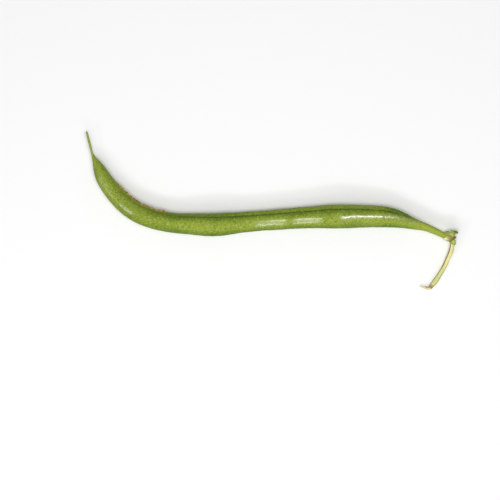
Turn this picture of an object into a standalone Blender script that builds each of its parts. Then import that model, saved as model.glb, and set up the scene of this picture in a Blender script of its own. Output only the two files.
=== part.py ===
"""A single picked green bean lying on its side: pod with beak, calyx, bracteole and pedicel.

Metres, +Z up, the table at z = 0. The pod runs along X from its beak (-X) to its stalk (+X),
and its ventral suture is on the inside of the bend.
"""

import math

import bmesh
import bpy
from mathutils import Vector

MM = 0.001
UP = Vector((0, 0, 1))

# Pod stations from beak tip to stalk end: x, y, width and clearance under the pod, in mm.
POD_STATIONS = (
    (-72.2, 30.5, 0.8, 4.0),
    (-70.5, 23.7, 1.1, 3.5),
    (-69.0, 20.2, 2.2, 2.8),
    (-67.4, 16.8, 4.3, 1.5),
    (-65.4, 12.6, 6.0, 0.5),
    (-62.4, 8.0, 6.7, 0.1),
    (-55.5, 1.2, 7.5, 0.0),
    (-45.0, -3.5, 7.7, 0.0),
    (-33.0, -5.2, 8.1, 0.0),
    (-23.5, -5.5, 9.0, 0.0),
    (-11.0, -4.4, 7.9, 0.0),
    (3.0, -3.3, 7.8, 0.0),
    (16.0, -2.5, 8.5, 0.0),
    (26.5, -2.2, 9.3, 0.0),
    (37.0, -2.1, 8.6, 0.0),
    (45.0, -2.6, 7.8, 0.1),
    (50.0, -3.6, 6.3, 0.9),
    (54.5, -4.9, 4.5, 2.0),
    (59.6, -6.6, 2.6, 3.0),
    (64.5, -8.6, 1.9, 3.5),
    (68.2, -10.2, 1.8, 3.5),
)
POD_THICKNESS_RATIO = 0.94  # thickness over width of the pod's section
POD_SEGMENTS = 28
POD_STEPS = 4
RESTING_FLAT = 0.22  # how far the soft underside is pressed flat, mm

SUTURE_ANGLE = 78.0  # from straight up towards the inside of the bend, degrees
SUTURE_HEIGHT = 0.045  # of the local width
SUTURE_SPREAD = 11.0  # degrees

# Calyx stations from rim to base: x, y, z, diameter, in mm.
CALYX_STATIONS = (
    (67.3, -9.8, 4.3, 3.5),
    (68.2, -10.0, 4.3, 3.8),
    (69.1, -10.4, 4.25, 3.9),
    (69.8, -10.9, 4.2, 3.5),
    (70.2, -11.4, 4.15, 2.7),
)
CALYX_SEGMENTS = 30
CALYX_LOBES = 5
CALYX_LOBE_LENGTH = 0.7
CALYX_RECESS_DIAMETER = 2.5
CALYX_RECESS_DEPTH = 1.3

# Pedicel stations from the calyx to its torn end: x, y, z, diameter, in mm.
PEDICEL_STATIONS = (
    (70.45, -11.8, 4.1, 1.8),
    (70.65, -12.4, 3.95, 1.9),
    (70.6, -13.0, 3.8, 2.0),
    (70.3, -13.7, 3.6, 1.6),
    (68.9, -17.6, 2.6, 1.55),
    (66.6, -21.9, 1.7, 1.55),
    (64.2, -25.9, 1.1, 1.6),
    (62.0, -29.1, 0.83, 1.65),
    (61.2, -29.9, 0.78, 1.5),
    (60.3, -30.2, 0.7, 1.0),
    (59.0, -30.0, 0.6, 0.7),
    (57.6, -29.5, 0.5, 0.4),
)
PEDICEL_SEGMENTS = 14

# Bracteole stations from its root on the calyx to its tip: x, y, z, diameter, in mm.
BRACTEOLE_STATIONS = (
    (70.1, -8.55, 4.5, 0.9),
    (70.8, -8.15, 4.6, 1.15),
    (71.6, -8.1, 4.6, 1.1),
    (72.3, -8.4, 4.5, 0.8),
)
BRACTEOLE_SEGMENTS = 12

COLOURS = {
    "pod_skin": (0.23, 0.36, 0.045, 1.0),
    "calyx_green": (0.40, 0.50, 0.12, 1.0),
    "bracteole_green": (0.15, 0.24, 0.05, 1.0),
    "pedicel_green": (0.55, 0.60, 0.22, 1.0),
}


def remove_default_objects():
    """Empties the scene."""
    for thing in list(bpy.data.objects):
        bpy.data.objects.remove(thing, do_unlink=True)


def smooth_stations(stations, steps):
    """Points on a Catmull-Rom curve through the stations, `steps` to each span."""
    rows = [tuple(2 * a - b for a, b in zip(stations[0], stations[1]))]
    rows += list(stations)
    rows.append(tuple(2 * a - b for a, b in zip(stations[-1], stations[-2])))
    samples = []
    for before, start, end, after in zip(rows, rows[1:], rows[2:], rows[3:]):
        for step in range(steps):
            t = step / steps
            sample = []
            for p0, p1, p2, p3 in zip(before, start, end, after):
                bend = (2 * p0 - 5 * p1 + 4 * p2 - p3) * t + (3 * p1 - p0 - 3 * p2 + p3) * t * t
                sample.append(p1 + 0.5 * t * (p2 - p0 + bend))
            samples.append(sample)
    samples.append(list(stations[-1]))
    return samples


def frames_along(centres):
    """For each centre, the travel direction, the sideways direction and the upward direction."""
    frames = []
    for index in range(len(centres)):
        ahead = centres[min(index + 1, len(centres) - 1)]
        behind = centres[max(index - 1, 0)]
        travel = (ahead - behind).normalized()
        side = UP.cross(travel).normalized()
        frames.append((travel, side, travel.cross(side)))
    return frames


def skin_rings(mesh, rings, first_tip, last_tip):
    """One closed skin over the rings, ended by a tip point at each end."""
    loops = [[mesh.verts.new(point) for point in ring] for ring in rings]
    count = len(loops[0])
    for near, far in zip(loops, loops[1:]):
        for k in range(count):
            after = (k + 1) % count
            mesh.faces.new((near[k], near[after], far[after], far[k]))
    for loop, tip in ((loops[0], first_tip), (loops[-1], last_tip)):
        point = mesh.verts.new(tip)
        for k in range(count):
            mesh.faces.new((loop[k], loop[(k + 1) % count], point))


def add_body(name, mesh, material_name, roughness):
    """Turns the bmesh into a smooth-shaded scene object with its own material."""
    bmesh.ops.scale(mesh, vec=(MM, MM, MM), verts=mesh.verts)
    bmesh.ops.triangulate(mesh, faces=mesh.faces)
    bmesh.ops.recalc_face_normals(mesh, faces=mesh.faces)
    data = bpy.data.meshes.new(name)
    mesh.to_mesh(data)
    mesh.free()
    for face in data.polygons:
        face.use_smooth = True
    material = bpy.data.materials.new(material_name)
    material.use_nodes = True
    shader = material.node_tree.nodes["Principled BSDF"]
    shader.inputs["Base Color"].default_value = COLOURS[material_name]
    shader.inputs["Roughness"].default_value = roughness
    shader.inputs["Metallic"].default_value = 0.0
    data.materials.append(material)
    body = bpy.data.objects.new(name, data)
    bpy.context.scene.collection.objects.link(body)


def round_tube(name, stations, segments, steps, material_name, roughness):
    """A round closed body through stations of x, y, z and diameter."""
    samples = smooth_stations(stations, steps)
    centres = [Vector(sample[:3]) for sample in samples]
    frames = frames_along(centres)
    rings = []
    for centre, sample, (_, side, up) in zip(centres, samples, frames):
        radius = sample[3] / 2
        ring = []
        for k in range(segments):
            angle = math.tau * k / segments
            point = centre + side * (radius * math.sin(angle)) + up * (radius * math.cos(angle))
            point.z = max(point.z, 0.0)
            ring.append(point)
        rings.append(ring)
    first_tip = centres[0] - frames[0][0] * (0.15 * samples[0][3])
    last_tip = centres[-1] + frames[-1][0] * (0.25 * samples[-1][3])
    mesh = bmesh.new()
    skin_rings(mesh, rings, first_tip, last_tip)
    add_body(name, mesh, material_name, roughness)


def pod_ring(centre, width, side, up):
    """One section of the pod: a flattened round with the suture ridge, resting on the table."""
    ring = []
    for k in range(POD_SEGMENTS):
        degrees = SUTURE_ANGLE + 360.0 * k / POD_SEGMENTS
        off_suture = min(degrees - SUTURE_ANGLE, 360.0 + SUTURE_ANGLE - degrees)
        ridge = SUTURE_HEIGHT * width * math.exp(-((off_suture / SUTURE_SPREAD) ** 2))
        angle = math.radians(degrees)
        across = (width / 2 + ridge) * math.sin(angle)
        above = (width / 2 + ridge) * POD_THICKNESS_RATIO * math.cos(angle)
        point = centre + side * across + up * above
        point.z = max(point.z, 0.0)
        ring.append(point)
    return ring


def build_pod():
    """The pod, its beak and its narrow neck as one body."""
    samples = smooth_stations(POD_STATIONS, POD_STEPS)
    centres = []
    for x, y, width, clearance in samples:
        height = width / 2 * POD_THICKNESS_RATIO + clearance - RESTING_FLAT
        centres.append(Vector((x, y, height)))
    frames = frames_along(centres)
    rings = []
    for centre, sample, (_, side, up) in zip(centres, samples, frames):
        rings.append(pod_ring(centre, sample[2], side, up))
    mesh = bmesh.new()
    skin_rings(mesh, rings, centres[0] - frames[0][0] * 0.3, centres[-1] + frames[-1][0] * 0.3)
    add_body("pod", mesh, "pod_skin", 0.4)


def build_calyx():
    """The lobed cup that the pod's neck sits in, with a recess round the neck."""
    samples = smooth_stations(CALYX_STATIONS, 2)
    centres = [Vector(sample[:3]) for sample in samples]
    frames = frames_along(centres)
    angles = [math.tau * k / CALYX_SEGMENTS for k in range(CALYX_SEGMENTS)]
    travel, side, up = frames[0]

    def ring_at(centre, radius, side, up):
        return [centre + side * (radius * math.sin(a)) + up * (radius * math.cos(a)) for a in angles]

    recess_radius = CALYX_RECESS_DIAMETER / 2
    recess_floor = centres[0] + travel * CALYX_RECESS_DEPTH
    recess = ring_at(recess_floor, recess_radius, side, up)
    mouth = ring_at(centres[0], recess_radius, side, up)
    lobed_rims = [mouth, ring_at(centres[0], samples[0][3] / 2, side, up)]
    for rim in lobed_rims:
        for k, angle in enumerate(angles):
            reach = 0.5 + 0.5 * math.cos(CALYX_LOBES * angle)
            rim[k] = rim[k] - travel * (CALYX_LOBE_LENGTH * reach)
    rings = [recess] + lobed_rims
    for centre, sample, (_, side_here, up_here) in list(zip(centres, samples, frames))[1:]:
        rings.append(ring_at(centre, sample[3] / 2, side_here, up_here))
    mesh = bmesh.new()
    skin_rings(mesh, rings, recess_floor, centres[-1] + frames[-1][0] * 0.05)
    add_body("calyx", mesh, "calyx_green", 0.5)


remove_default_objects()
build_pod()
build_calyx()
round_tube("pedicel", PEDICEL_STATIONS, PEDICEL_SEGMENTS, 3, "pedicel_green", 0.55)
round_tube("bracteole", BRACTEOLE_STATIONS, BRACTEOLE_SEGMENTS, 3, "bracteole_green", 0.5)
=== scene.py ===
"""Looks of a single green bean lying on a pale table, seen from straight above."""

import math
from types import SimpleNamespace

import bpy
import numpy as np
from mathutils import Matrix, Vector, noise


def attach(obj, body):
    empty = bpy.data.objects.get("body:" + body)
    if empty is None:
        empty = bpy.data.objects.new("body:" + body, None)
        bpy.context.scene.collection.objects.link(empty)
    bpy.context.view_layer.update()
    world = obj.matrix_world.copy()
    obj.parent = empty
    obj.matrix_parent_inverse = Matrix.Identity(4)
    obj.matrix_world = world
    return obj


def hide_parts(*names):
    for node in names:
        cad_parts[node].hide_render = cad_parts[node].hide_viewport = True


MM = 0.001

# Pod stations from beak tip to stalk end: x, y, width and clearance under the pod, in mm.
POD_STATIONS = (
    (-72.2, 30.5, 0.75, 4.0),
    (-70.55, 24.0, 0.95, 3.6),
    (-69.75, 21.3, 1.2, 3.1),
    (-68.95, 19.7, 2.2, 2.6),
    (-67.6, 16.8, 4.2, 1.6),
    (-65.6, 12.6, 5.9, 0.5),
    (-62.4, 8.0, 6.7, 0.1),
    (-55.5, 1.2, 7.4, 0.0),
    (-45.0, -3.5, 7.6, 0.0),
    (-33.0, -5.2, 8.0, 0.0),
    (-23.5, -5.5, 8.8, 0.0),
    (-11.0, -4.5, 7.9, 0.0),
    (3.0, -3.4, 7.85, 0.0),
    (16.0, -2.6, 8.45, 0.0),
    (26.5, -2.3, 9.25, 0.0),
    (37.0, -2.15, 8.6, 0.0),
    (45.0, -2.65, 7.8, 0.1),
    (50.0, -3.6, 6.3, 0.9),
    (54.5, -4.9, 4.5, 2.0),
    (59.6, -6.3, 3.05, 2.8),
    (64.0, -8.2, 2.5, 3.1),
    (68.2, -10.2, 2.1, 3.3),
)
POD_RINGS = 840
POD_COLUMNS = 112
THICKNESS_RATIO = 0.94  # thickness over width of the pod's section
RESTING_FLAT = 0.22  # how far the soft underside is pressed flat, mm
BEAK_TIP = 0.3  # how far the rounded tip stands out beyond the first ring, mm

# Angle of the ventral suture from straight up towards the inside of the bend, in degrees, by
# distance along the pod in mm: the pod twists a little between its beak and its stalk.
SUTURE_TWIST = (
    (0, 76),
    (24, 74),
    (40, 70),
    (52, 68),
    (60, 65),
    (75, 60),
    (120, 57),
    (145, 60),
    (162, 66),
)
TWIST_SMOOTHING = 40  # rings to each side

# Places along the pod, in mm from the beak tip. A pair is the start and end of a change.
BEAK_LENGTH = 9.0
THREAD_START = 22.0
THREAD_END = 51.0
FIRST_SEED = 36.0
LAST_SEED = 138.0
SEED_SPACING = 15.5
EVEN_TONE_ENDS = (38.0, 56.0)
SUTURE_RISES = (44.0, 66.0)
SUTURE_FLATTENS = (136.0, 144.0)
RIDGE_PALES = (72.0, 88.0)
RIDGE_DARKENS = (131.0, 138.0)
NECK = (142.0, 151.0)
DARK_SPOT_PLACE = 67.5
RED_SPECK_PLACE = 121.0

# Heights on the pod's skin, in mm.
THREAD_HEIGHT = 0.70
SEED_HEIGHT = 0.16
SEED_LENGTH = 4.6

# The flank tone is palest on this line and darker towards the suture and the dorsal line: partly
# the skin's own deeper green, partly painted shade.
FLANK_ANGLE = 1.35  # of the palest line of the flank from the suture, radians

# Patches where the wax is smooth, with a painted highlight laid on them in the skin's colour: start
# and end along the pod in mm, then lateral place and spread on the upper side (-1 outside of the
# bend, 1 inside), and drift of that place.
GLOSSY_PATCHES = (
    (17.0, 27.5, -0.45, 0.16, 0.0),
    (30.0, 37.0, -0.35, 0.15, 0.0),
    (84.5, 96.0, -0.42, 0.24, 0.1),
    (99.5, 110.0, -0.36, 0.24, 0.05),
    (118.0, 134.0, -0.14, 0.20, 0.16),
    (134.0, 148.0, 0.02, 0.20, 0.45),
)

# Calyx axis from rim to base: x, y and z in mm.
CALYX_AXIS = (
    (67.3, -9.8, 4.3),
    (68.2, -10.0, 4.3),
    (69.1, -10.4, 4.25),
    (69.8, -10.9, 4.2),
    (70.3, -11.6, 4.15),
)
# Half section of the cup, from the recess floor out over the rim to the base: distance along the
# axis and radius in mm.
CALYX_PROFILE = (
    (1.3, 0.95),
    (0.6, 1.05),
    (0.1, 1.25),
    (-0.15, 1.42),
    (-0.1, 1.6),
    (0.3, 1.72),
    (0.9, 1.86),
    (1.5, 1.9),
    (2.1, 1.78),
    (2.5, 1.50),
    (2.75, 1.42),
    (2.95, 1.62),
    (3.2, 1.66),
    (3.4, 1.40),
    (3.5, 1.0),
)
# Lobes of the rim: angle from straight up and width in radians, reach towards the pod and flare
# outwards in mm.
CALYX_LOBES = (
    (1.5, 0.40, 0.25, 0.45),
    (4.6, 0.38, 0.55, -0.30),
    (0.3, 0.35, 0.45, 0.10),
    (2.7, 0.35, 0.5, 0.1),
    (3.7, 0.32, 0.4, 0.0),
    (5.35, 0.32, 0.45, 0.10),
)
CALYX_RINGS = 90
CALYX_RIM_RING = 15
CALYX_OUTER_RING = 40
SCAR_RING_PLACE = 3.0

# Stations of the stalk, its torn strip and the two scales: x, y, z and width in mm.
PEDICEL_STATIONS = (
    (69.9, -11.0, 4.15, 1.7),
    (70.25, -11.8, 4.05, 2.0),
    (70.25, -12.5, 3.85, 2.1),
    (70.0, -13.2, 3.6, 1.8),
    (69.65, -15.0, 3.2, 1.7),
    (68.8, -17.6, 2.6, 1.7),
    (66.9, -21.9, 1.7, 1.75),
    (64.5, -25.9, 1.15, 1.8),
    (62.3, -28.9, 0.92, 1.85),
    (61.6, -29.7, 0.86, 1.6),
)
PEEL_STATIONS = (
    (62.2, -29.5, 1.2, 1.3),
    (61.3, -30.1, 1.1, 1.3),
    (60.2, -30.1, 0.9, 1.1),
    (58.9, -29.8, 0.7, 0.8),
    (57.4, -29.3, 0.55, 0.35),
)
SIDE_BRACTEOLE_STATIONS = (
    (70.8, -9.7, 4.7, 0.7),
    (70.3, -8.8, 5.1, 1.0),
    (69.8, -8.0, 5.3, 0.9),
    (69.3, -7.3, 5.4, 0.35),
)
BRACTEOLE_STATIONS = (
    (69.6, -9.2, 4.5, 0.8),
    (70.2, -8.45, 4.6, 1.1),
    (71.1, -8.35, 4.6, 1.15),
    (71.8, -8.6, 4.5, 0.95),
    (72.15, -8.8, 4.45, 0.5),
)
PEEL_HALF_THICKNESS = 0.15
STREAK_ANGLE = 5.2  # of the stalk's brown streak from straight up, radians

POD_TINTS = {
    # deep and pale are the two ends of the flank tone; the deep end is partly painted shade.
    "deep": (0.098, 0.175, 0.004),
    "pale": (0.285, 0.365, 0.032),
    "fibre": (0.35, 0.41, 0.07),
    "suture": (0.30, 0.38, 0.040),
    # Painted shade in the grooves beside the suture.
    "groove_shade": (0.045, 0.09, 0.003),
    "neck": (0.37, 0.43, 0.055),
    "beak": (0.33, 0.41, 0.09),
    "dark_mottle": (0.085, 0.160, 0.004),
    "grain": (0.42, 0.48, 0.10),
    "speck": (0.50, 0.56, 0.18),
    "dark_spot": (0.05, 0.07, 0.01),
    "thread_brown": (0.20, 0.07, 0.025),
    "thread_tan": (0.62, 0.36, 0.13),
    "browned": (0.22, 0.09, 0.03),
    # Painted highlight laid on the glossy patches.
    "painted_sheen": (0.60, 0.65, 0.30),
}

FRAME_WIDTH = 195.0  # mm across the picture
SENSOR_WIDTH = 36.0
CAMERA_HEIGHT = 1200.0
CAMERA_X = -8.7
CAMERA_Y = -15.3
TABLE_HALF = 1.5  # m
TABLE_DROP = 0.05  # mm below the bean
TABLE_WHITE = 0.94
WORLD_STRENGTH = 0.24

# Soft lights aimed at the bean: name, place, length and breadth in metres, power in watts.
LIGHTS = (
    ("key", (-0.20, -0.35, 0.95), 0.80, 0.80, 2.4),
    ("top", (0.05, -0.08, 0.85), 0.50, 0.17, 3.7),
    ("low", (0.0, -0.62, 0.50), 0.50, 0.10, 1.2),
    ("left", (-0.60, -0.52, 0.60), 0.20, 0.20, 0.8),
)


# ---------------------------------------------------------------- shapes


def smoothstep(value, start, end):
    """0 before start, 1 after end, and an S-shaped rise between them."""
    t = np.clip((value - start) / (end - start), 0.0, 1.0)
    return t * t * (3 - 2 * t)


def bump(value, centre, width):
    """A bell of height 1 round the centre."""
    return np.exp(-(((value - centre) / width) ** 2))


def cubic_through(stations, count):
    """Evenly spaced rows on the natural cubic spline through the stations, and their distances."""
    rows = np.array(stations, float)
    knots = np.zeros(len(rows))
    knots[1:] = np.cumsum(np.linalg.norm(np.diff(rows[:, :2], axis=0), axis=1))
    gaps = np.diff(knots)
    system = np.eye(len(rows))
    right = np.zeros_like(rows)
    slopes = np.diff(rows, axis=0) / gaps[:, None]
    for i in range(1, len(rows) - 1):
        system[i, i - 1 : i + 2] = gaps[i - 1], 2 * (gaps[i - 1] + gaps[i]), gaps[i]
        right[i] = 6 * (slopes[i] - slopes[i - 1])
    curve = np.linalg.solve(system, right)
    place = np.linspace(0.0, knots[-1], count)
    span = np.clip(np.searchsorted(knots, place, side="right") - 1, 0, len(gaps) - 1)
    gap = gaps[span][:, None]
    before = (place - knots[span])[:, None]
    after = (knots[span + 1] - place)[:, None]
    value = (curve[span] * after**3 + curve[span + 1] * before**3) / (6 * gap)
    value += (rows[span] / gap - curve[span] * gap / 6) * after
    value += (rows[span + 1] / gap - curve[span + 1] * gap / 6) * before
    return value, place


def frames_along(centres):
    """Directions of travel, sideways (to the left of travel) and upwards at each centre."""
    travel = np.gradient(centres, axis=0)
    travel /= np.linalg.norm(travel, axis=1, keepdims=True)
    side = np.cross((0.0, 0.0, 1.0), travel)
    side /= np.linalg.norm(side, axis=1, keepdims=True)
    return travel, side, np.cross(travel, side)


def rough(points, size, seed):
    """Smooth noise from about -1 to 1 at each point, with features of that size in mm."""
    shift = Vector((17.3, 5.1, 9.7)) * seed
    places = (points / size).reshape(-1, 3).tolist()
    return np.array([noise.noise(Vector(p) + shift) for p in places]).reshape(points.shape[:-1])


def skin(name, points, local, masks, first_tip, last_tip, material):
    """A closed smooth mesh over a grid of points (rings by columns) that rides on the part."""
    rings, columns, _ = points.shape
    vertices = np.vstack([points.reshape(-1, 3), [first_tip, last_tip]]) * MM
    index = np.arange(rings * columns).reshape(rings, columns)
    near, far = index[:-1], index[1:]
    quads = np.stack([near, np.roll(near, -1, 1), np.roll(far, -1, 1), far], -1).reshape(-1, 4)
    first, last = rings * columns, rings * columns + 1
    start = [(index[0, k], first, index[0, (k + 1) % columns]) for k in range(columns)]
    end = [(index[-1, k], index[-1, (k + 1) % columns], last) for k in range(columns)]
    mesh = bpy.data.meshes.new(name)
    mesh.from_pydata(vertices.tolist(), [], quads.tolist() + start + end)
    for mask, values in masks.items():
        ends = [values[0].mean(), values[-1].mean()]
        layer = mesh.attributes.new(mask, "FLOAT", "POINT")
        layer.data.foreach_set("value", np.append(values.ravel(), ends).astype(np.float32))
    ends = np.vstack([local[0].mean(0), local[-1].mean(0)])
    layer = mesh.attributes.new("local", "FLOAT_VECTOR", "POINT")
    layer.data.foreach_set(
        "vector", np.vstack([local.reshape(-1, 3), ends]).astype(np.float32).ravel()
    )
    mesh.polygons.foreach_set("use_smooth", [True] * len(mesh.polygons))
    mesh.materials.append(material)
    piece = bpy.data.objects.new(name, mesh)
    bpy.context.scene.collection.objects.link(piece)
    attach(piece, "root")
    return piece


def swept(centres, side, up, across, above):
    """Points of a grid of section offsets carried along the centres."""
    return centres[:, None] + side[:, None] * across[..., None] + up[:, None] * above[..., None]


def ring_grid(along, columns):
    """For every point of a grid of rings, its angle from straight up and its distance along."""
    turn = np.linspace(0.0, math.tau, columns, endpoint=False)
    place, angle = np.meshgrid(along, turn, indexing="ij")
    return angle, place


def turned_off(angle, direction):
    """Angle from the direction, between minus and plus half a turn."""
    return (angle - direction + math.pi) % math.tau - math.pi


def patch(angle, place, turn_at, turn_spread, place_at, place_spread):
    """A soft spot round one angle and one place."""
    return bump(turned_off(angle, turn_at), 0.0, turn_spread) * bump(place, place_at, place_spread)


def suture_relief(distance, size, strength):
    """Height of the ventral suture by distance from it: a raised cord, its middle line, grooves."""
    cord = 0.30 * np.exp(-((distance / 1.1) ** 4))
    middle = -0.07 * bump(distance, 0.0, 0.13)
    grooves = -0.21 * bump(np.abs(distance), 1.45, 0.28)
    return ((cord + grooves) * strength + middle) * size


def columns_round_pod():
    """Angles from the suture, crowded towards it and, less, towards the dorsal line opposite."""
    turn = np.linspace(0.0, math.tau, 2001)
    crowding = 1 + 2.0 * (bump(turn, 0.0, 0.45) + bump(turn, math.tau, 0.45))
    crowding += 0.6 * bump(turn, math.pi, 0.35)
    share = np.concatenate([[0.0], np.cumsum((crowding[1:] + crowding[:-1]) / 2)])
    return np.interp(np.arange(POD_COLUMNS) / POD_COLUMNS, share / share[-1], turn)


def suture_angles(along):
    """Angle of the suture from straight up at each ring, with the corners of the twist smoothed."""
    places, degrees = np.array(SUTURE_TWIST, float).T
    angles = np.pad(np.radians(np.interp(along, places, degrees)), TWIST_SMOOTHING, "edge")
    window = 2 * TWIST_SMOOTHING + 1
    return np.convolve(angles, np.ones(window) / window, "valid")


def pod_grid(along, width):
    """Where every point of the pod's skin lies: along it, round it and off its suture."""
    g = SimpleNamespace()
    from_suture = columns_round_pod()
    g.angle = suture_angles(along)[:, None] + from_suture[None, :]
    g.place = np.broadcast_to(along[:, None], g.angle.shape)
    g.width = width[:, None]
    g.radius = g.width / 2
    g.off_suture = turned_off(from_suture, 0.0)[None, :]
    g.distance = g.off_suture * g.radius
    g.across = g.radius * np.sin(g.angle)
    above = g.radius * THICKNESS_RATIO * np.cos(g.angle)
    g.local = np.stack([g.place, g.across, above], -1)
    g.size = np.clip((g.width - 1.0) / 6.5, 0.0, 1.0)
    g.strength = 0.25 + 0.75 * smoothstep(g.place, *SUTURE_RISES)
    g.strength *= 1 - 0.9 * smoothstep(g.place, *SUTURE_FLATTENS)
    g.neck = smoothstep(g.place, *NECK)
    return g


def pod_relief(g):
    """Height over a smooth pod in mm: sutures, seed swellings, ribs of the neck, wrinkles."""
    relief = suture_relief(g.distance, g.size, g.strength)
    opposite = (math.pi - np.abs(g.off_suture)) * g.radius
    relief += g.size * (0.14 * bump(opposite, 0.0, 0.9) - 0.12 * bump(opposite, 0.0, 0.25))
    flank = 0.5 - 0.5 * np.cos(2 * g.off_suture)
    for seed in np.arange(FIRST_SEED, LAST_SEED, SEED_SPACING):
        relief += SEED_HEIGHT * flank * bump(g.place, seed + 1.5 * math.sin(seed), SEED_LENGTH)
    relief += g.neck * 0.05 * g.width * np.cos(3 * (g.angle - 0.4))
    relief += g.size * 0.16 * rough(g.local, 9.0, 1)
    relief += g.size * 0.06 * rough(g.local, 3.2, 2)
    slanted = g.local.copy()
    slanted[..., 0] += 0.55 * g.across
    slanted *= (2.6, 1.0, 1.0)
    relief += g.size * 0.030 * rough(slanted, 2.2, 3)
    relief += g.size * 0.022 * rough(g.local, 0.7, 4)
    return relief


def dried_thread(g):
    """The ragged dried crest on the middle line of the suture, from 0 to 1."""
    fray = 0.6 + 0.6 * rough(g.local, 1.1, 5) + 0.5 * rough(g.local, 0.45, 6)
    window = smoothstep(g.place, THREAD_START - 1.0, THREAD_START + 5.0)
    window *= 1 - smoothstep(g.place, THREAD_END - 3.5, THREAD_END + 1.0)
    off_line = 0.16 * rough(g.local, 2.0, 7)
    breadth = 0.16 + 0.24 * window
    return window * bump(g.distance + off_line, 0.0, breadth) * np.clip(fray, 0.45, 1.0)


def pod_gloss(g):
    """How smooth the wax is, and where a highlight is painted: 1 in the glossy patches of the upper
    side, fading round them.
    """
    gloss_and_sheen = np.zeros_like(g.place)
    for start, end, lateral, spread, drift in GLOSSY_PATCHES:
        centre_line = lateral + drift * (g.place - start) / (end - start)
        inside = smoothstep(g.place, start - 1.5, start + 1.5)
        inside = inside * (1 - smoothstep(g.place, end - 1.5, end + 1.5))
        gloss_and_sheen = np.maximum(gloss_and_sheen, inside * bump(np.sin(g.angle), centre_line, spread))
    return gloss_and_sheen * (np.cos(g.angle) > 0)


def pod_flank(g):
    """How pale the skin is: palest on the flank, darkening quickest towards the dorsal line; the
    darkening is partly the skin's own deeper green, partly painted shade.
    """
    off_flank = np.broadcast_to(np.abs(g.off_suture) - FLANK_ANGLE, g.place.shape)
    flank = np.where(off_flank > 0, bump(off_flank, 0.0, 0.58), bump(off_flank, 0.0, 0.68))
    near_beak = 1 - smoothstep(g.place, *EVEN_TONE_ENDS)
    return flank + 0.7 * near_beak * (0.62 - flank)


def pod_masks(g, thread):
    """Where each tint of the pod's skin lies."""
    ridge = 0.45 + 0.55 * smoothstep(g.place, *RIDGE_PALES)
    ridge *= 1 - smoothstep(g.place, *RIDGE_DARKENS)
    ridge *= smoothstep(g.width, 2.5, 5.0)
    beak_base = patch(g.angle, g.place, 1.2, 0.6, BEAK_LENGTH + 0.2, 0.6)
    beak_tip = 0.5 - 0.5 * smoothstep(g.place, 0.2, 1.2)
    speck = bump(g.place, RED_SPECK_PLACE, 0.5) * bump(g.distance, 0.4, 0.25)
    wavy_place = g.place + 0.6 * np.sin(3 * g.angle)
    return {
        # Flank tone: partly the skin's own, partly painted shade towards the suture and the dorsal
        # line.
        "flank": pod_flank(g),
        # Smooth wax for the coat, and where the painted highlight lies.
        "gloss_and_sheen": pod_gloss(g),
        "suture": ridge * bump(g.distance, 0.0, 1.2),
        # Painted shade in the grooves beside the suture.
        "groove_shade": g.strength * bump(np.abs(g.distance), 1.5, 0.42),
        "thread": np.clip(thread * 1.3, 0, 1),
        "neck": g.neck,
        "beak": 1 - smoothstep(g.place, BEAK_LENGTH - 3.0, BEAK_LENGTH + 5.0),
        "browned": np.maximum(np.maximum(beak_base, speck), beak_tip),
        # A small dark spot on the pod's lower side.
        "dark_spot": patch(g.angle, wavy_place, -0.95, 0.07, DARK_SPOT_PLACE, 1.6),
    }


def build_pod(material):
    """The pod with its beak, twisted sutures, seed swellings and neck."""
    rows, along = cubic_through(POD_STATIONS, POD_RINGS)
    width = rows[:, 2]
    clearance = np.maximum(rows[:, 3], 0.0)
    height = width / 2 * THICKNESS_RATIO + clearance - RESTING_FLAT
    centres = np.column_stack([rows[:, 0], rows[:, 1], height])
    _, side, up = frames_along(centres)
    g = pod_grid(along, width)
    thread = dried_thread(g)
    relief = pod_relief(g) + THREAD_HEIGHT * thread
    across = (g.radius + relief) * np.sin(g.angle)
    above = (g.radius * THICKNESS_RATIO + relief) * np.cos(g.angle)
    points = swept(centres, side, up, across, above)
    points[..., 2] = np.maximum(points[..., 2], 0.0)
    outward = centres[0] - centres[1]
    tip = centres[0] + outward / np.linalg.norm(outward) * BEAK_TIP
    masks = pod_masks(g, thread)
    piece = skin("pod_skin", points, g.local, masks, tip, centres[-1], material)
    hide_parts("pod")


def lobed_rim(angle):
    """How far the calyx lobes reach towards the pod and flare outwards at each angle, in mm."""
    reach = np.zeros_like(angle)
    flare = np.zeros_like(angle)
    for turn_at, width, length, spread in CALYX_LOBES:
        lobe = bump(turned_off(angle, turn_at), 0.0, width)
        reach = reach + length * lobe
        flare = flare + spread * lobe
    return reach, flare


def calyx_masks(angle, axial, local, creases, ring):
    """Where each tint of the calyx lies."""
    brown = patch(angle, axial, 5.0, 0.3, 1.6, 1.2) + patch(angle, axial, 5.95, 0.3, 1.9, 0.9)
    uneven = 0.8 + 0.6 * rough(local, 0.7, 19)
    rim = bump(np.arange(CALYX_RINGS), CALYX_RIM_RING, 4.0)[:, None]
    return {
        "cream": patch(angle, axial, 5.5, 0.33, 0.2, 1.2),
        # A painted highlight: a whitish patch on the upper side of the cup.
        "pale": patch(angle, axial, 0.85, 0.30, 1.9, 0.7),
        # Painted shade in the creases between the lobes.
        "bright": patch(angle, axial, 1.4, 0.5, 0.3, 1.0),
        "crease_shade": creases,
        "brown": np.clip(brown * 1.3 * uneven, 0, 1),
        "ring": ring,
        "edge": np.broadcast_to(rim, angle.shape),
    }


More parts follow.
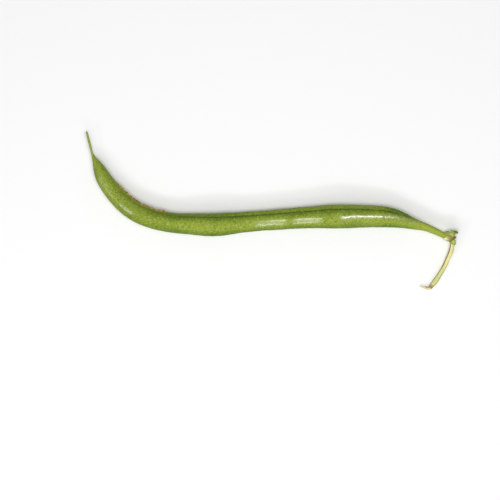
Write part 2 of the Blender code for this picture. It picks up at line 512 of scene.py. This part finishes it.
def build_calyx(material):
    """The cup round the pod's neck, with uneven lobes at its rim and a scar ring at its base."""
    outline, _ = cubic_through(CALYX_PROFILE, CALYX_RINGS)
    axis, along = cubic_through(CALYX_AXIS, 200)
    _, side_all, up_all = frames_along(axis)
    columns = np.hstack([axis, side_all, up_all]).T
    onto = np.column_stack([np.interp(outline[:, 0], along, column) for column in columns])
    forward = (axis[1] - axis[0]) / (along[1] - along[0])
    centres = onto[:, :3] + np.minimum(outline[:, :1], 0.0) * forward
    side = onto[:, 3:6]
    up = onto[:, 6:9]

    # The rim's shape fades towards the base, and in a few rings towards the recess floor.
    angle, axial = ring_grid(outline[:, 0], 120)
    rimness = 1 - smoothstep(outline[:, :1], 0.2, 2.4)
    rimness[:4, 0] = (0.0, 0.2, 0.6, 1.0)
    reach, flare = lobed_rim(angle)
    radius = outline[:, 1:] + flare * rimness
    local = np.stack([axial, radius * np.sin(angle), radius * np.cos(angle)], -1)
    outside = np.arange(CALYX_RINGS)[:, None] > CALYX_OUTER_RING
    ring = bump(axial, SCAR_RING_PLACE, 0.38) * outside
    radius = radius + 0.10 * rough(local, 1.1, 8) + 0.05 * rough(local, 0.4, 9) * (1 + ring)
    creases = (0.5 + 0.5 * np.cos(5 * angle - 1.2 + 0.5 * rough(local, 1.5, 20))) ** 3
    creases *= 1 - ring
    radius = radius - 0.22 * creases * rimness
    radius = radius + 0.04 * np.cos(11 * angle) * (1 - ring)
    points = swept(centres, side, up, radius * np.sin(angle), radius * np.cos(angle))
    points = points - forward * (reach * rimness)[..., None]
    masks = calyx_masks(angle, axial, local, creases, ring)
    piece = skin(
        "calyx_cup", points, local, masks, centres[0], centres[-1], material
    )
    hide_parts("calyx")


def tube_grid(stations, rings, columns, half_thickness=None):
    """Centres, directions, angles, places and radius of a stem, and its local coordinates."""
    rows, along = cubic_through(stations, rings)
    t = SimpleNamespace(centres=rows[:, :3], length=along[-1], radius=rows[:, 3:] / 2)
    _, t.side, t.up = frames_along(t.centres)
    t.angle, t.place = ring_grid(along, columns)
    above = (half_thickness or t.radius) * np.cos(t.angle)
    t.local = np.stack([t.place, t.radius * np.sin(t.angle), above], -1)
    return t


def build_pedicel(material):
    """The stalk: swollen joint, ribbed stem with a brown streak, and a scarred broken end."""
    t = tube_grid(PEDICEL_STATIONS, 320, 56)
    joint = 1 - smoothstep(t.place, 1.4, 2.4)
    torn = smoothstep(t.place, t.length - 1.6, t.length - 0.3)
    relief = 0.045 * (1 - joint) * np.cos(5 * t.angle + 0.25 * t.place)
    relief += 0.07 * rough(t.local, 1.4, 11) + 0.03 * rough(t.local, 0.45, 12)
    relief += 0.05 * joint * np.sin(t.place * 9.0) + 0.17 * bump(t.place, 1.75, 0.18)
    relief += torn * (0.14 * rough(t.local, 0.35, 13) - 0.08)
    radius = t.radius + relief
    across = radius * np.sin(t.angle)
    points = swept(t.centres, t.side, t.up, across, radius * np.cos(t.angle))
    points[..., 2] = np.maximum(points[..., 2], 0.0)
    off_streak = turned_off(t.angle, STREAK_ANGLE) + 0.25 * rough(t.local, 1.2, 14)
    window = smoothstep(t.place, 1.9, 2.6) * (1 - smoothstep(t.place, 11.0, 15.0))
    masks = {
        "joint": joint,
        "lower": smoothstep(t.place, 8.0, 14.0),
        # Greener, darker sides of the stalk: partly its own skin, partly painted shade.
        "edges": smoothstep(np.abs(np.sin(t.angle)), 0.45, 0.95) * (1 - joint),
        "streak": window * bump(off_streak, 0.0, 0.36),
        "scar": np.maximum(torn, bump(t.place, 1.8, 0.22)),
        "torn": smoothstep(t.place, t.length - 0.5, t.length),
    }
    first, last = t.centres[0], t.centres[-1]
    piece = skin("pedicel_stem", points, t.local, masks, first, last, material)
    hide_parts("pedicel")


def build_peel(material):
    """The strip of skin torn loose at the stalk's broken end, curled up at its edges."""
    t = tube_grid(PEEL_STATIONS, 70, 28, PEEL_HALF_THICKNESS)
    across = t.local[..., 1] * (1 + 0.35 * rough(t.local, 0.6, 15))
    above = t.local[..., 2] + 0.105 * (across / 0.45) ** 2 + 0.05 * rough(t.local, 0.5, 16)
    points = swept(t.centres, t.side, t.up, across, above)
    inner = smoothstep(-np.sin(t.angle), 0.0, 0.5) * (1 - smoothstep(t.place, 2.6, 4.0))
    masks = {"scar": np.maximum(inner, 1 - smoothstep(t.place, 0.4, 1.0))}
    first, last = points[0].mean(0), points[-1].mean(0)
    skin("pedicel_peel", points, t.local, masks, first, last, material)


def build_bracteole(name, stations, material):
    """A small scale beside the calyx, dried at its tip."""
    t = tube_grid(stations, 70, 40)
    radius = t.radius + 0.05 * rough(t.local, 0.8, 17) + 0.03 * rough(t.local, 0.3, 18)
    across = radius * np.sin(t.angle)
    points = swept(t.centres, t.side, t.up, across, 0.8 * radius * np.cos(t.angle))
    masks = {"dried": smoothstep(t.place, t.length - 1.2, t.length - 0.5)}
    first, last = t.centres[0], t.centres[-1]
    piece = skin(name, points, t.local, masks, first, last, material)
    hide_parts("bracteole")


# ---------------------------------------------------------------- materials


class Nodes:
    """Short names for building a node tree round one Principled BSDF."""

    def __init__(self, name):
        self.material = bpy.data.materials.new(name)
        self.material.use_nodes = True
        self.tree = self.material.node_tree
        self.shader = self.tree.nodes["Principled BSDF"]

    def node(self, kind, **settings):
        made = self.tree.nodes.new(kind)
        for key, value in settings.items():
            setattr(made, key, value)
        return made

    def feed(self, socket, value):
        if isinstance(value, bpy.types.NodeSocket):
            self.tree.links.new(value, socket)
        else:
            socket.default_value = value

    def mask(self, name):
        return self.node("ShaderNodeAttribute", attribute_name=name).outputs["Fac"]

    def local(self, stretch=(1.0, 1.0, 1.0)):
        source = self.node("ShaderNodeAttribute", attribute_name="local").outputs["Vector"]
        mapping = self.node("ShaderNodeMapping")
        self.feed(mapping.inputs["Vector"], source)
        mapping.inputs["Scale"].default_value = stretch
        return mapping.outputs["Vector"]

    def noise(self, scale, detail=3.0, roughness=0.55, stretch=(1.0, 1.0, 1.0)):
        made = self.node("ShaderNodeTexNoise")
        self.feed(made.inputs["Vector"], self.local(stretch))
        made.inputs["Scale"].default_value = scale
        made.inputs["Detail"].default_value = detail
        made.inputs["Roughness"].default_value = roughness
        return made.outputs["Fac"]

    def cells(self, scale, stretch=(1.0, 1.0, 1.0)):
        made = self.node("ShaderNodeTexVoronoi")
        self.feed(made.inputs["Vector"], self.local(stretch))
        made.inputs["Scale"].default_value = scale
        return made.outputs["Distance"]

    def math(self, operation, a, b=0.0):
        made = self.node("ShaderNodeMath", operation=operation)
        self.feed(made.inputs[0], a)
        self.feed(made.inputs[1], b)
        return made.outputs["Value"]

    def ramp(self, value, low, high):
        """0 at low and 1 at high, clamped, with a smooth rise."""
        made = self.node("ShaderNodeMapRange", interpolation_type="SMOOTHSTEP")
        self.feed(made.inputs["Value"], value)
        made.inputs["From Min"].default_value = low
        made.inputs["From Max"].default_value = high
        return made.outputs["Result"]

    def mix(self, share, a, b):
        made = self.node("ShaderNodeMix", data_type="RGBA")
        self.feed(made.inputs["Factor"], share)
        self.feed(made.inputs["A"], a)
        self.feed(made.inputs["B"], b)
        return made.outputs["Result"]

    def layer(self, under, share, pattern, tint):
        """The tint laid over the surface below, by that share where the pattern is 1."""
        return self.mix(self.math("MULTIPLY", pattern, share), under, tint)

    def bumps(self, *layers):
        """Bump layers of (height, strength, distance in mm), from the lowest up."""
        normal = None
        for height, strength, distance in layers:
            made = self.node("ShaderNodeBump")
            self.feed(made.inputs["Height"], height)
            made.inputs["Strength"].default_value = strength
            made.inputs["Distance"].default_value = distance * MM
            if normal:
                self.feed(made.inputs["Normal"], normal)
            normal = made.outputs["Normal"]
        self.feed(self.shader.inputs["Normal"], normal)


def colour(red, green, blue):
    return (red, green, blue, 1.0)


def pod_tint(name):
    return colour(*POD_TINTS[name])


def pod_colour(n):
    """Yellow-green, deeper away from the flank, with mottling, pale specks and brown marks; the
    deepening away from the flank and the dark grooves beside the suture are partly painted shade,
    and the glossy patches carry a painted highlight.
    """
    cloud = n.noise(0.14, 3.0)
    mottle = n.noise(0.9, 5.0, 0.72)
    tone = n.math("ADD", n.mask("flank"), n.math("MULTIPLY", n.math("SUBTRACT", cloud, 0.5), 0.9))
    tone = n.math("ADD", tone, n.math("MULTIPLY", n.math("SUBTRACT", mottle, 0.5), 0.9))
    tone = n.ramp(tone, -0.1, 1.05)
    fibres = n.ramp(n.noise(1.0, 3.0, 0.6, (0.25, 2.2, 2.2)), 0.45, 0.75)
    # From deep to pale by the flank tone: partly the skin's own colour, partly painted shade.
    surface = n.mix(tone, pod_tint("deep"), pod_tint("pale"))
    surface = n.layer(surface, 0.20, fibres, pod_tint("fibre"))
    # The groove tint is painted shade in the grooves beside the suture; suture, neck and beak are
    # the skin's own tones.
    for place, share in (("suture", 0.85), ("groove_shade", 0.70), ("neck", 0.75), ("beak", 0.70)):
        surface = n.layer(surface, share, n.mask(place), pod_tint(place))

    body = n.math("SUBTRACT", 1.0, n.math("MULTIPLY", n.mask("neck"), 0.7))
    dark_share = n.math("MULTIPLY", n.ramp(mottle, 0.48, 0.66), body)
    surface = n.layer(surface, 0.72, dark_share, pod_tint("dark_mottle"))
    paler = n.math("ADD", n.math("MULTIPLY", tone, 0.7), 0.3)
    grain = n.ramp(n.noise(1.6, 4.0, 0.7, (0.8, 1.1, 1.1)), 0.49, 0.64)
    surface = n.layer(surface, 0.80, n.math("MULTIPLY", grain, paler), pod_tint("grain"))
    specks = n.ramp(n.cells(1.5, (0.8, 1.0, 1.0)), 0.40, 0.12)
    specks = n.math("MULTIPLY", specks, n.ramp(n.noise(1.2, 2.0), 0.42, 0.60))
    surface = n.layer(surface, 0.80, n.math("MULTIPLY", specks, paler), pod_tint("speck"))
    # A small dark spot on the pod's lower side.
    surface = n.layer(surface, 0.70, n.mask("dark_spot"), pod_tint("dark_spot"))

    segments = n.ramp(n.noise(1.4, 3.0), 0.35, 0.65)
    thread_tone = n.mix(segments, pod_tint("thread_brown"), pod_tint("thread_tan"))
    surface = n.mix(n.ramp(n.mask("thread"), 0.12, 0.4), surface, thread_tone)
    surface = n.layer(surface, 0.80, n.mask("browned"), pod_tint("browned"))
    # Painted highlight: a whitish sheen on the glossy patches.
    painted_sheen = n.ramp(n.noise(1.1, 4.0, 0.7, (1.6, 0.8, 0.8)), 0.40, 0.56)
    return n.layer(surface, 0.38, n.math("MULTIPLY", n.mask("gloss_and_sheen"), painted_sheen), pod_tint("painted_sheen"))


def pod_material():
    """The pod's skin: matt between patches of smooth wax, rough on the dried thread."""
    n = Nodes("bean_skin")
    n.feed(n.shader.inputs["Base Color"], pod_colour(n))
    breaks = n.ramp(n.noise(1.3, 3.0, 0.6, (1.4, 0.7, 0.7)), 0.25, 0.50)
    wax = n.math("MULTIPLY", n.mask("gloss_and_sheen"), breaks)
    n.feed(n.shader.inputs["Coat Weight"], wax)
    n.shader.inputs["Coat Roughness"].default_value = 0.20
    n.shader.inputs["Coat IOR"].default_value = 1.75
    roughness = n.math("SUBTRACT", 0.50, n.math("MULTIPLY", wax, 0.25))
    roughness = n.math("ADD", roughness, n.math("MULTIPLY", n.mask("thread"), 0.4))
    n.feed(n.shader.inputs["Roughness"], roughness)
    n.shader.inputs["IOR"].default_value = 1.45
    n.shader.inputs["Specular IOR Level"].default_value = 0.18
    n.shader.inputs["Subsurface Weight"].default_value = 0.12
    n.shader.inputs["Subsurface Radius"].default_value = (1.0, 1.2, 0.3)
    n.shader.inputs["Subsurface Scale"].default_value = 0.8 * MM
    n.bumps(
        (n.noise(1.3, 3.0, 0.6, (1.7, 0.7, 0.7)), 1.0, 0.40),
        (n.cells(3.0), 0.5, 0.08),
    )
    return n.material


def layered_material(name, base, layers, roughness):
    """Plant tissue: a base colour, then layers of (mask name or None, share, colour), mottled."""
    n = Nodes(name)
    surface = base
    for mask, share, tint in layers:
        pattern = n.ramp(n.noise(1.6, 3.0, 0.6), 0.30, 0.70)
        if mask:
            pattern = n.math("ADD", n.math("MULTIPLY", pattern, 0.35), 0.75)
            pattern = n.math("MULTIPLY", pattern, n.mask(mask))
        surface = n.mix(n.math("MINIMUM", n.math("MULTIPLY", pattern, share), 1.0), surface, tint)
    n.feed(n.shader.inputs["Base Color"], surface)
    uneven = n.math("MULTIPLY", n.noise(2.5, 3.0), 0.25)
    n.feed(n.shader.inputs["Roughness"], n.math("ADD", roughness - 0.12, uneven))
    n.shader.inputs["Specular IOR Level"].default_value = 0.25
    n.bumps((n.noise(3.5, 4.0, 0.65), 0.6, 0.08))
    return n.material


def calyx_material():
    layers = (
        (None, 0.60, colour(0.47, 0.46, 0.12)),
        # Painted shade in the creases between the lobes.
        ("crease_shade", 0.6, colour(0.20, 0.19, 0.04)),
        ("bright", 0.9, colour(0.24, 0.40, 0.03)),
        ("brown", 1.0, colour(0.33, 0.20, 0.07)),
        ("cream", 1.3, colour(0.86, 0.80, 0.45)),
        # A painted highlight: a whitish patch on the upper side of the cup.
        ("pale", 1.2, colour(0.80, 0.80, 0.46)),
        ("edge", 0.6, colour(0.33, 0.20, 0.06)),
        ("ring", 1.0, colour(0.20, 0.10, 0.035)),
    )
    return layered_material("calyx_tissue", colour(0.33, 0.41, 0.055), layers, 0.5)


def pedicel_material():
    # The pale cream base is partly the stalk's own pale tissue, partly a painted highlight along
    # its top; the edges layer greens and darkens the sides, partly the stalk's own skin, partly
    # painted shade.
    layers = (
        (None, 0.45, colour(0.52, 0.50, 0.15)),
        ("lower", 0.45, colour(0.50, 0.50, 0.12)),
        ("edges", 0.85, colour(0.22, 0.31, 0.035)),
        ("joint", 0.95, colour(0.31, 0.45, 0.035)),
        ("streak", 1.1, colour(0.27, 0.09, 0.02)),
        ("scar", 0.8, colour(0.29, 0.15, 0.05)),
        ("torn", 0.8, colour(0.20, 0.09, 0.03)),
    )
    return layered_material("pedicel_tissue", colour(0.84, 0.80, 0.38), layers, 0.5)


def peel_material():
    layers = ((None, 0.5, colour(0.56, 0.48, 0.20)), ("scar", 1.1, colour(0.30, 0.17, 0.06)))
    return layered_material("peel_tissue", colour(0.78, 0.72, 0.40), layers, 0.6)


def side_bracteole_material():
    layers = ((None, 0.5, colour(0.36, 0.48, 0.06)), ("dried", 0.3, colour(0.33, 0.24, 0.07)))
    return layered_material("side_bracteole_tissue", colour(0.20, 0.36, 0.015), layers, 0.5)


def bracteole_material():
    layers = (
        (None, 0.4, colour(0.20, 0.27, 0.06)),
        ("dried", 1.0, colour(0.27, 0.15, 0.045)),
    )
    return layered_material("bracteole_tissue", colour(0.10, 0.15, 0.03), layers, 0.7)


# ---------------------------------------------------------------- stage


def add_area_light(name, place, length, breadth, power):
    """A soft rectangular light turned towards the bean."""
    data = bpy.data.lights.new(name, "AREA")
    data.shape = "RECTANGLE"
    data.size = length
    data.size_y = breadth
    data.energy = power
    light = bpy.data.objects.new(name, data)
    light.location = place
    light.rotation_euler = (-Vector(place)).to_track_quat("-Z", "Y").to_euler()
    bpy.context.scene.collection.objects.link(light)


def build_table():
    """The pale matt table."""
    mesh = bpy.data.meshes.new("table")
    low, high = -TABLE_HALF, TABLE_HALF
    corners = [(low, low, 0), (high, low, 0), (high, high, 0), (low, high, 0)]
    mesh.from_pydata(corners, [], [(0, 1, 2, 3)])
    paint = bpy.data.materials.new("table_white")
    paint.use_nodes = True
    shader = paint.node_tree.nodes["Principled BSDF"]
    shader.inputs["Base Color"].default_value = colour(TABLE_WHITE, TABLE_WHITE, TABLE_WHITE)
    shader.inputs["Roughness"].default_value = 0.9
    shader.inputs["Specular IOR Level"].default_value = 0.1
    mesh.materials.append(paint)
    table = bpy.data.objects.new("table", mesh)
    table.location.z = -TABLE_DROP * MM
    bpy.context.scene.collection.objects.link(table)


def build_stage():
    """Pale table, even surroundings, soft lights and the camera straight above."""
    build_table()
    world = bpy.data.worlds.new("studio")
    world.use_nodes = True
    background = world.node_tree.nodes["Background"]
    background.inputs["Color"].default_value = colour(1.0, 1.0, 1.0)
    background.inputs["Strength"].default_value = WORLD_STRENGTH
    bpy.context.scene.world = world
    for light in LIGHTS:
        add_area_light(*light)

    lens = bpy.data.cameras.new("camera")
    lens.sensor_width = SENSOR_WIDTH
    lens.lens = SENSOR_WIDTH * CAMERA_HEIGHT / FRAME_WIDTH
    camera = bpy.data.objects.new("camera", lens)
    camera.location = (CAMERA_X * MM, CAMERA_Y * MM, CAMERA_HEIGHT * MM)
    bpy.context.scene.collection.objects.link(camera)
    bpy.context.scene.camera = camera
    bpy.context.scene.view_settings.view_transform = "Standard"


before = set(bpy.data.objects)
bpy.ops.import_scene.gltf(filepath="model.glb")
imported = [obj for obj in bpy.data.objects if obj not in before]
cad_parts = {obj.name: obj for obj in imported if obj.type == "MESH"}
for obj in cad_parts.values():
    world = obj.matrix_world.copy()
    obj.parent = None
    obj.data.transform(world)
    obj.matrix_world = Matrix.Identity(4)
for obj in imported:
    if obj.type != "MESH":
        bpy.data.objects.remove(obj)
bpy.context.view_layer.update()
build_pod(pod_material())
build_calyx(calyx_material())
build_pedicel(pedicel_material())
build_peel(peel_material())
build_bracteole("bracteole_dark", BRACTEOLE_STATIONS, bracteole_material())
build_bracteole("bracteole_bright", SIDE_BRACTEOLE_STATIONS, side_bracteole_material())
build_stage()
